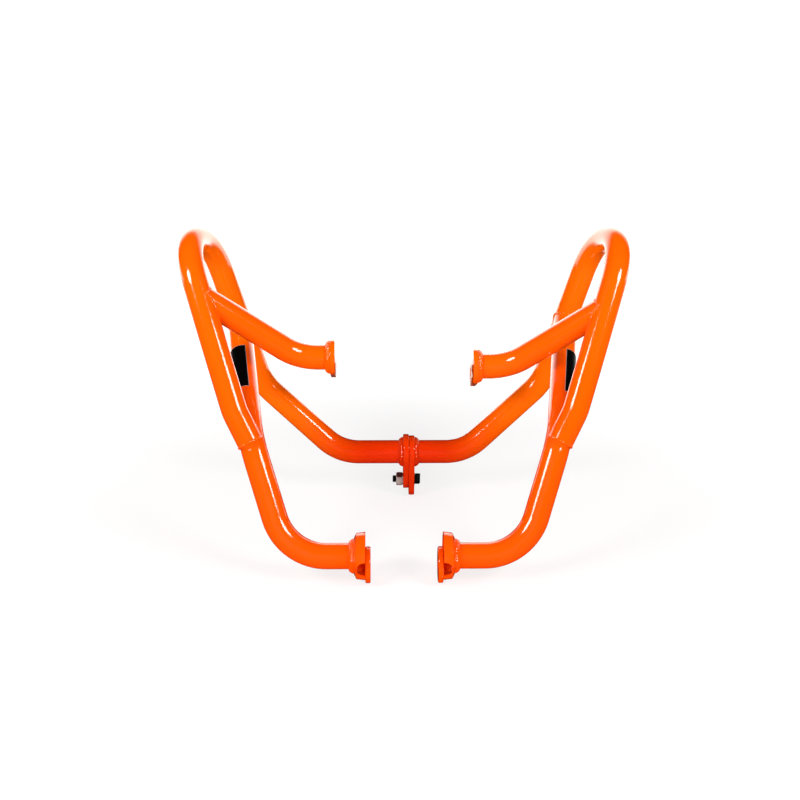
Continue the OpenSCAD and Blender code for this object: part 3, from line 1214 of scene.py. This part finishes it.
@dataclass
class JointBolt:
    """The bolt and nut that hold the two centre plates together.

    Attributes:
        place: Centre of the bolt's axis in the joint's plane.
        plate: Thickness of each centre plate.
        head_flats: Width across the flats of the head.
        head_height: Height of the head with its flange.
        rim: Width of the rim round the head's dish.
        dish: Depth of the dish.
        flange_r: Radius of the flange.
        flange_t: Thickness of the flange.
        nut_flats: Width across the flats of the nut.
        nut_height: Height of the nut.
        nut_roll: Turn of the nut about X, in degrees.
        shank_r: Radius of the thread.
        tip: How far the tip stands out of the nut.
        pitch: Pitch of the thread.
    """

    place: Vector = field(default_factory=lambda: Vector((7 * MM, MOUNT_Y + 195 * MM, 18 * MM)))
    plate: float = 6 * MM
    head_flats: float = 10 * MM
    head_height: float = 6.3 * MM
    rim: float = 1.1 * MM
    dish: float = 0.5 * MM
    flange_r: float = 7.1 * MM
    flange_t: float = 1.5 * MM
    nut_flats: float = 13 * MM
    nut_height: float = 7.5 * MM
    nut_roll: float = 24.4
    shank_r: float = 4 * MM
    tip: float = 3.8 * MM
    pitch: float = 1.25 * MM

    def blank(
        self, name: str, vertices: int, radii: tuple[float, ...], middle: float, depth: float,
        rotation: tuple[float, float, float] | Euler = QUARTER_TURN,
    ) -> Piece:
        """Models a prism, a cylinder or a cone along X on the bolt's axis.

        Args:
            name: Name of the piece.
            vertices: Corners round it.
            radii: Its radius, or those of a cone at its low and its high end.
            middle: X of its middle.
            depth: Its length.
            rotation: The turn that lays it along X.

        Returns:
            The blank.
        """
        where = {"depth": depth, "location": (middle, self.place.y, self.place.z), "rotation": rotation}
        clear()
        if len(radii) == 1:
            bpy.ops.mesh.primitive_cylinder_add(vertices=vertices, radius=radii[0], **where)
        else:
            bpy.ops.mesh.primitive_cone_add(vertices=vertices, radius1=radii[0], radius2=radii[1], **where)
        piece = fresh(name)
        settle(piece)
        return piece

    def hexagon(self, name: str, flats: float, low: float, high: float, roll: float = 0) -> Piece:
        """Models a hexagonal prism along X whose outer corners are chamfered by a cone.

        Args:
            name: Name of the piece.
            flats: Width across the flats.
            low: X at which it starts.
            high: X at which it ends.
            roll: Degrees by which it is turned about X from having flats at its top and bottom.

        Returns:
            The prism.
        """
        corner = flats / 2 / math.cos(math.pi / 6)
        middle, depth = (low + high) / 2, high - low
        turn = Matrix.Rotation(math.radians(roll), 3, "X") @ Matrix.Rotation(math.pi / 2, 3, "Y")
        prism = self.blank(name, 6, (corner,), middle, depth, turn.to_euler())
        turned = self.blank("turned", 64, (corner * 1.001,), middle, depth)
        soften(turned, corner - flats / 2 + 0.15 * MM, 1)
        cut(prism, turned, "INTERSECT")
        soften(prism, 0.18 * MM, 2)
        smooth(prism, 30)
        return prism

    def build_bolt(self) -> None:
        """Models the flange bolt: chamfered head with a dished top, sloping flange and threaded tip."""
        face = self.place.x + self.plate
        top = face + self.head_height
        head = self.hexagon("head", self.head_flats, face + 0.5 * MM, top)
        edit(head)
        bpy.ops.mesh.select_all(action="DESELECT")
        leave()
        outer = max(head.data.polygons, key=lambda f: (round(f.center.x, 5), f.area))
        outer.select = True
        bpy.ops.object.mode_set(mode="EDIT")
        bpy.ops.mesh.inset(thickness=self.rim)
        bpy.ops.mesh.extrude_region_move(TRANSFORM_OT_translate={"value": (-self.dish, 0, 0)})
        bpy.ops.transform.resize(value=(1, 0.8, 0.8), center_override=(top, self.place.y, self.place.z))
        leave()
        radii = (self.flange_r, self.head_flats / 2)
        flange = self.blank("flange", 64, radii, face + self.flange_t / 2, self.flange_t)
        soften(flange, 0.25 * MM, 2)
        bolt = join([head, flange, self.thread(face)], "joint_bolt_threaded")
        settle(bolt)
        smooth(bolt, 30)
        dress(bolt, BLACK_STEEL)
        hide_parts("joint_bolt")

    def thread(self, face: float) -> Piece:
        """Models the shank, whose free end is threaded.

        Args:
            face: X of the head's bearing face.

        Returns:
            The shank.
        """
        x = self.place.x - self.plate - self.nut_height - self.tip
        tip, root, body, crest = (self.shank_r - depth * MM for depth in (0.9, 0.65, 0.15, 0.05))
        radius = tip
        clear()
        bpy.ops.mesh.primitive_circle_add(
            vertices=48, radius=tip, fill_type="NGON",
            location=(x, self.place.y, self.place.z), rotation=QUARTER_TURN,
        )
        shank = fresh("shank")
        settle(shank)
        edit(shank)
        turn = (
            (0.15 * MM, crest), (0.20 * MM, crest), (0.35 * MM, root), (0.20 * MM, root),
            (self.pitch - 0.90 * MM, body),
        )
        for step, target in ((0.5 * MM, self.shank_r - 0.25 * MM), *turn * 4, (None, body)):
            step = face - x if step is None else step
            share = target / radius
            bpy.ops.mesh.extrude_region_move(TRANSFORM_OT_translate={"value": (step, 0, 0)})
            bpy.ops.transform.resize(
                value=(1, share, share), center_override=(x + step, self.place.y, self.place.z),
            )
            radius, x = target, x + step
        leave()
        close_up(shank)
        return shank

    def build_nut(self) -> None:
        """Models the chamfered nut with its washer face towards the plate."""
        face = self.place.x - self.plate
        outside = face - self.nut_height
        nut = self.hexagon("nut_body", self.nut_flats, outside, face - 0.4 * MM, self.nut_roll)
        washer_r = self.nut_flats / 2 - 0.3 * MM
        cut(nut, self.blank("washer_face", 64, (washer_r,), face - 0.3 * MM, 0.6 * MM), "UNION")
        radii = (self.shank_r + 0.7 * MM, self.shank_r - 0.3 * MM)
        cut(nut, self.blank("countersink", 48, radii, outside + 0.45 * MM, 1.0 * MM))
        nut = fresh_name(nut, "joint_nut_chamfered")
        smooth(nut, 15)
        dress(nut, ZINC)
        # Faces that point up get the painted reflection of the crossbar above, in dark brown.
        nut.data.materials.append(ZINC_PAINTED_REFLECTION.material())
        for side in nut.data.polygons:
            side.material_index = 1 if side.normal.z > 0.75 else 0
        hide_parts("joint_nut")


# Studio

WHITE = (1, 1, 1, 1)
WARM_WHITE = (1.0, 0.93, 0.88, 1)
FLOOR_GREY = (0.9, 0.9, 0.9, 1)
FLOOR_SEEN = (0.215, 0.205, 0.203, 1)


@dataclass(frozen=True)
class Softbox:
    """One round softbox that faces the object.

    Attributes:
        name: Name of the lamp.
        azimuth: Degrees from the camera's side towards +X.
        height: Degrees above the horizon.
        power: Power in watts.
        width: Diameter in metres.
        mirrored: Whether it shows in the gloss.
        away: Distance in metres.
    """

    name: str
    azimuth: float
    height: float
    power: float
    width: float = 0.57
    mirrored: bool = True
    away: float = 1.5

    def build(self) -> None:
        """Adds the lamp."""
        data = bpy.data.lights.new(self.name, "AREA")
        data.shape = "DISK"
        data.size = self.width
        data.energy = self.power
        lamp = bpy.data.objects.new(self.name, data)
        bpy.context.scene.collection.objects.link(lamp)
        lamp.visible_glossy = self.mirrored
        a, e = math.radians(self.azimuth), math.radians(self.height)
        back = Vector((math.sin(a) * math.cos(e), -math.cos(a) * math.cos(e), math.sin(e)))
        lamp.matrix_world = Matrix.Translation(Vector((0, 0, 0.15)) + back * self.away) @ facing(back)


@dataclass
class Studio:
    """Floor, backdrop light, lamps and camera.

    Attributes:
        camera_at: Place of the camera.
        pitch: Degrees by which it looks down.
        yaw: Degrees by which it looks to the right.
        roll: Degrees by which it is tilted.
        lens: Focal length in millimetres.
        backdrop: Strength of the bright wall behind, which only the gloss shows.
        fill: Strength of the even light from all round.
        floor_size: Width of the floor.
        glow_from: Distances from the middle between which the floor's glow rises.
        glow: The glow in the middle and far out.
        mirrored_from: Distances behind between which the mirrored floor turns bright.
        wall_behind: Shares of the view to the rear between which the mirrored wall starts.
        wall_above: Shares of the view upwards between which it fades.
        wall_left: What is left of it above.
        card_at: Place of the black card behind the crossbar.
        card_size: Width, height and scale across of the card.
        lamps: A softbox in front on each side, and a weak fill from the front.
    """

    camera_at: Vector = field(default_factory=lambda: Vector((-28.05, -1290.2, 658.0)) * MM)
    pitch: float = 21.6
    yaw: float = 1.05
    roll: float = 0.25
    lens: float = 63.0
    backdrop: float = 2.8
    fill: float = 0.31
    floor_size: float = 12
    glow_from: tuple[float, float] = (0.25, 0.62)
    glow: tuple[float, float] = (0.79, 1.0)
    mirrored_from: tuple[float, float] = (0.3, 0.75)
    wall_behind: tuple[float, float] = (0.62, 0.92)
    wall_above: tuple[float, float] = (0.38, 0.68)
    wall_left: float = 0.04
    card_at: tuple[float, float, float] = (0, 0.165, 0.0725)
    card_size: tuple[float, float, float] = (0.11, 0.105, 1)
    lamps: tuple[Softbox, ...] = (
        Softbox("softbox_right", 50, 34, 13.5),
        Softbox("softbox_left", -53, 33, 13.5),
        Softbox("front_fill", -8, 8, 8, width=1.2, mirrored=False),
    )

    def build_camera(self) -> None:
        """Places the camera at the photograph's viewpoint."""
        pitch, yaw, roll = (math.radians(a) for a in (self.pitch, self.yaw, self.roll))
        ahead = Vector((math.sin(yaw) * math.cos(pitch), math.cos(yaw) * math.cos(pitch), -math.sin(pitch)))
        right = Vector((math.cos(yaw), -math.sin(yaw), 0))
        up = right.cross(ahead)
        c, s = math.cos(roll), math.sin(roll)
        right, up = right * c + up * s, up * c - right * s
        data = bpy.data.cameras.new("photo_camera")
        data.lens = self.lens
        data.sensor_width = 36
        data.clip_start = 0.05
        data.clip_end = 50
        camera = bpy.data.objects.new("photo_camera", data)
        bpy.context.scene.collection.objects.link(camera)
        turn = Matrix((right, up, -ahead)).transposed().to_4x4()
        camera.matrix_world = Matrix.Translation(self.camera_at) @ turn
        bpy.context.scene.camera = camera

    def build_floor(self) -> None:
        """Models the pale floor, which shows white and keeps the soft shadow."""
        clear()
        bpy.ops.mesh.primitive_plane_add(size=self.floor_size, location=(0, 2.5, 0))
        floor = fresh("studio_floor")
        settle(floor)
        floor.data.materials.append(self.floor_material())

    def build_flag(self) -> None:
        """Stands a black card behind the crossbar, which only the gloss shows."""
        clear()
        bpy.ops.mesh.primitive_plane_add(size=1, location=self.card_at, rotation=(math.pi / 2, 0, 0))
        card = fresh("studio_black_card")
        card.scale = self.card_size
        settle(card)
        black = bpy.data.materials.new("studio_black")
        black.use_nodes = True
        graph = Graph(black.node_tree)
        graph.give(graph.tree.nodes["Principled BSDF"], Base_Color=(0, 0, 0, 1), Specular_IOR_Level=0)
        card.data.materials.append(black)
        card.visible_camera = card.visible_diffuse = False
        card.visible_shadow = card.visible_transmission = False

    def floor_material(self) -> bpy.types.Material:
        """Makes the floor white to the eye, pale as light, and bright only far behind in reflections.

        Returns:
            The material.
        """
        material = bpy.data.materials.new("studio_floor_white")
        material.use_nodes = True
        graph = Graph(material.node_tree)
        graph.tree.nodes.remove(graph.tree.nodes["Principled BSDF"])
        matte = graph.add("BsdfDiffuse", Color=FLOOR_GREY)
        seen = graph.add("BsdfDiffuse", Color=FLOOR_SEEN)
        glow = graph.add("Emission")
        lit = graph.add("AddShader")
        mirrored = graph.add("Emission", Color=WARM_WHITE)
        end = graph.tree.nodes["Material Output"]
        place = graph.add("TexCoord").outputs["Object"]
        distance = graph.add("VectorMath")
        distance.operation = "LENGTH"
        near = graph.ramp(distance.outputs["Value"], self.glow_from, *self.glow)
        behind = graph.ramp(graph.split(place)[1], self.mirrored_from, 0.01, self.backdrop)
        unseen = graph.by_ray("Glossy", matte.outputs[0], mirrored.outputs[0])
        graph.link(
            (place, distance.inputs[0]),
            (near, glow.inputs["Strength"]),
            (behind, mirrored.inputs["Strength"]),
            (seen.outputs[0], lit.inputs[0]),
            (glow.outputs[0], lit.inputs[1]),
            (graph.by_ray("Camera", unseen, lit.outputs[0]), end.inputs["Surface"]),
        )
        return material

    def build_world(self) -> None:
        """Makes the surroundings white to the eye, a bright wall behind in the gloss, and a weak fill."""
        world = bpy.data.worlds.new("studio_world")
        bpy.context.scene.world = world
        world.use_nodes = True
        graph = Graph(world.node_tree)
        fill = graph.give(graph.tree.nodes["Background"], Color=WHITE, Strength=self.fill)
        wall = graph.add("Background", Color=WARM_WHITE)
        sky = graph.add("Background", Color=WHITE, Strength=1.0)
        end = graph.tree.nodes["World Output"]
        _, back, up = graph.split(graph.add("TexCoord").outputs["Generated"])
        behind = graph.ramp(back, self.wall_behind, 0.0, self.backdrop)
        above = graph.ramp(up, self.wall_above, 1.0, self.wall_left)
        unseen = graph.by_ray("Glossy", fill.outputs[0], wall.outputs[0])
        graph.link(
            (graph.calculate("MULTIPLY", behind, above), wall.inputs["Strength"]),
            (graph.by_ray("Camera", unseen, sky.outputs[0]), end.inputs["Surface"]),
        )

    def build(self) -> None:
        """Builds the whole studio."""
        self.build_camera()
        self.build_floor()
        self.build_flag()
        self.build_world()
        for lamp in self.lamps:
            lamp.build()
        bpy.context.scene.view_settings.view_transform = "Standard"


def main() -> None:
    """Builds the halves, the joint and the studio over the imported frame."""
    logging.basicConfig(level=logging.INFO, format="%(name)s: %(message)s")
    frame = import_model()
    nodes = frame["nodes"]
    Studio().build()
    halves = [
        Half(Side.LEFT, arm_height=182, arm_root=255, lower_in=33.75, joint=-7, film=(63, 125, 107)),
        Half(Side.RIGHT, arm_height=172, arm_root=244, lower_in=30.75, joint=7, film=(55, 119, 81)),
    ]
    for half in halves:
        half.lay_out()
        half.build_tubes()
        half.build_saddles()
        half.build_rings()
        half.dress_plates(nodes)
        half.build_sticker()
    joint = JointBolt()
    joint.build_bolt()
    joint.build_nut()


if __name__ == "__main__":
    main()
